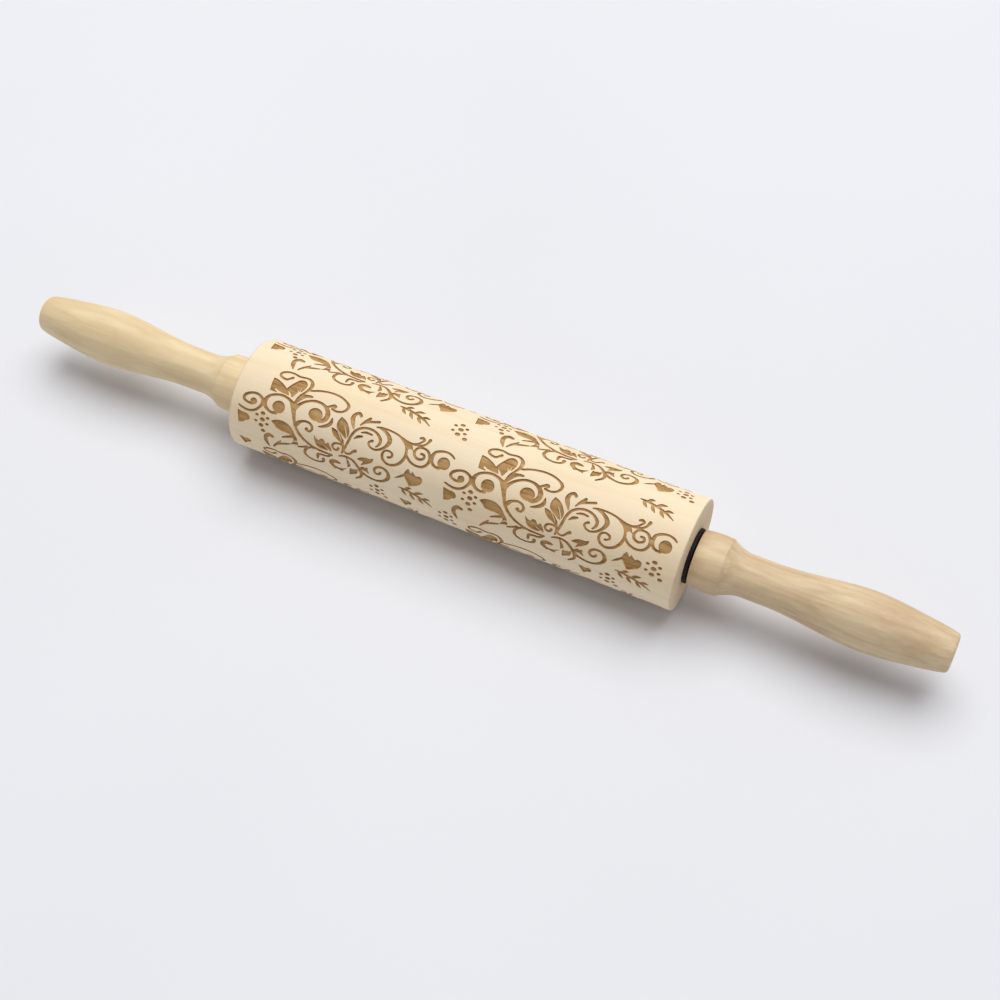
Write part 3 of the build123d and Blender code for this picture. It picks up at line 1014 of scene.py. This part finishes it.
def handle_material(side):
    """Turned wood with long soft streaks, stains and pale flecks; the right handle is the browner one."""
    if side > 0:
        tones = rgb(237, 217, 182), rgb(228, 206, 167), rgb(208, 183, 144)
        stain, staining, flecking = rgb(196, 162, 127), 0.65, 0.3
    else:
        tones = rgb(243, 223, 184), rgb(236, 213, 170), rgb(220, 194, 149)
        stain, staining, flecking = rgb(214, 184, 138), 0.45, 0.12
    n = Nodes("turned_wood_" + ("right" if side > 0 else "left"))
    pith = (0.05, 0.03 * side, -0.045)
    colour, fibres = wood_colour(n, *tones, pith, ring_scale=210.0)
    streaks = n.ramp(n.grain(16.0, 330.0, 4.0, 0.6), [(0.4, 0.0), (0.66, staining)])
    streaked = n.mix(streaks, colour, stain)
    blotches = n.ramp(n.grain(34.0, 95.0, 4.0), [(0.44, 0.0), (0.68, staining)])
    blotched = n.mix(blotches, streaked, stain)
    flecks = n.ramp(n.grain(320.0, 1300.0, 2.0), [(0.64, 0.0), (0.74, flecking)])
    flecked = n.mix(flecks, blotched, rgb(240, 222, 190))
    rough = n.ramp(fibres, [(0.3, 0.4), (0.7, 0.54)])
    turning = n.grain(2400.0, 20.0, 2.0)
    normal = n.bump(n.mix(0.35, fibres, turning), 0.1, 0.0002)
    return n.finish(flecked, rough, normal, Specular_IOR_Level=0.35)


# The bushes' black nylon. Its near-black is partly the plastic's own colour and partly painted shade: it
# darkens the narrow gap between the barrel's end and each handle's collar.
def nylon_and_gap_shade_material():
    n = Nodes("black_nylon")
    speckle = n.grain(1600.0, 1600.0, 3.0)
    colour = n.ramp(speckle, [(0.3, rgb(22, 18, 18)), (0.7, rgb(33, 27, 26))])
    rough = n.ramp(speckle, [(0.3, 0.55), (0.7, 0.7)])
    return n.finish(colour, rough, n.bump(speckle, 0.2, 0.0001), Specular_IOR_Level=0.25)


def steel_material():
    n = Nodes("brushed_steel")
    lines = n.grain(60.0, 4200.0, 3.0)
    colour = n.ramp(lines, [(0.3, rgb(150, 150, 152)), (0.7, rgb(196, 196, 198))])
    rough = n.ramp(lines, [(0.3, 0.28), (0.7, 0.44)])
    return n.finish(colour, rough, n.bump(lines, 0.2, 0.0001), Metallic=1.0)


# ---------- The object ----------

barrel = make_barrel([skin_material(), wall_material(), floor_material(), end_grain_material()])
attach(barrel, "barrel")
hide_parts("engraved_barrel")

for side_name, side in (("left", -1), ("right", 1)):
    node = side_name + "_handle"
    handle = make_handle(node, side, handle_material(side))
    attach(handle, "handles")
    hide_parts(node)

NYLON_AND_GAP_SHADE, STEEL = nylon_and_gap_shade_material(), steel_material()
# The bushes' near-black is partly painted shade for the gap at each collar.
CAD_FINISHES = {
    "left_bush": NYLON_AND_GAP_SHADE, "right_bush": NYLON_AND_GAP_SHADE, "left_washer": STEEL, "right_washer": STEEL, "axle_rod": STEEL,
}
for node, material in CAD_FINISHES.items():
    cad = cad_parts[node]
    cad.data.materials.clear()
    cad.data.materials.append(material)

# ---------- Floor, light and camera ----------

FLOOR_REACH = 6.0
SOFTBOX_PLACE = (-0.15, 1.33, 4.0)  # high behind the pin, and so far off that the floor is evenly lit
SOFTBOX_SIZE = 4.7
SOFTBOX_POWER = 181
SOFTBOX_COLOUR = (1.0, 0.99, 0.965)
SKY_COLOUR = (0.93, 0.95, 1.0, 1)
SKY_STRENGTH = 0.35
CAMERA_AZIMUTH = math.radians(25.2)
CAMERA_ELEVATION = math.radians(53.7)
CAMERA_DISTANCE = 0.72
CAMERA_AIM = Vector((0.016, 0.0, FLOOR_HEIGHT / 2))
CAMERA_LENS = 59


def make_floor():
    corners = ((-1, -1), (1, -1), (1, 1), (-1, 1))
    verts = [(x * FLOOR_REACH, y * FLOOR_REACH, FLOOR_HEIGHT) for x, y in corners]
    n = Nodes("pale_paper")
    mottle = n.grain(3.0, 3.0, 2.0)
    colour = n.ramp(mottle, [(0.3, rgb(228, 229, 234)), (0.7, rgb(231, 232, 237))])
    floor = new_piece("studio_floor", verts, [(0, 1, 2, 3)], [n.finish(colour, 0.9, Specular_IOR_Level=0.1)])


def make_softbox():
    light = bpy.data.lights.new("softbox", "AREA")
    light.shape = "DISK"
    light.size = SOFTBOX_SIZE
    light.energy = SOFTBOX_POWER
    light.color = SOFTBOX_COLOUR
    lamp = bpy.data.objects.new("softbox", light)
    lamp.location = SOFTBOX_PLACE
    lamp.rotation_mode = "QUATERNION"
    lamp.rotation_quaternion = (-Vector(SOFTBOX_PLACE)).to_track_quat("-Z", "Y")
    bpy.context.scene.collection.objects.link(lamp)


def make_sky():
    world = bpy.data.worlds.new("studio")
    world.use_nodes = True
    background = world.node_tree.nodes["Background"]
    background.inputs["Color"].default_value = SKY_COLOUR
    background.inputs["Strength"].default_value = SKY_STRENGTH
    bpy.context.scene.world = world


def make_camera():
    """A hand-held view from the front right and above, which takes in the whole pin."""
    away = Vector((
        math.sin(CAMERA_AZIMUTH) * math.cos(CAMERA_ELEVATION),
        -math.cos(CAMERA_AZIMUTH) * math.cos(CAMERA_ELEVATION),
        math.sin(CAMERA_ELEVATION),
    ))
    camera = bpy.data.objects.new("camera", bpy.data.cameras.new("camera"))
    camera.location = CAMERA_AIM + away * CAMERA_DISTANCE
    camera.rotation_mode = "QUATERNION"
    camera.rotation_quaternion = (-away).to_track_quat("-Z", "Y")
    camera.data.sensor_width = 36
    camera.data.lens = CAMERA_LENS
    camera.data.clip_start = 0.01
    camera.data.clip_end = 50
    bpy.context.scene.collection.objects.link(camera)
    bpy.context.scene.camera = camera


make_floor()
make_softbox()
make_sky()
make_camera()
bpy.context.scene.view_settings.view_transform = "Standard"
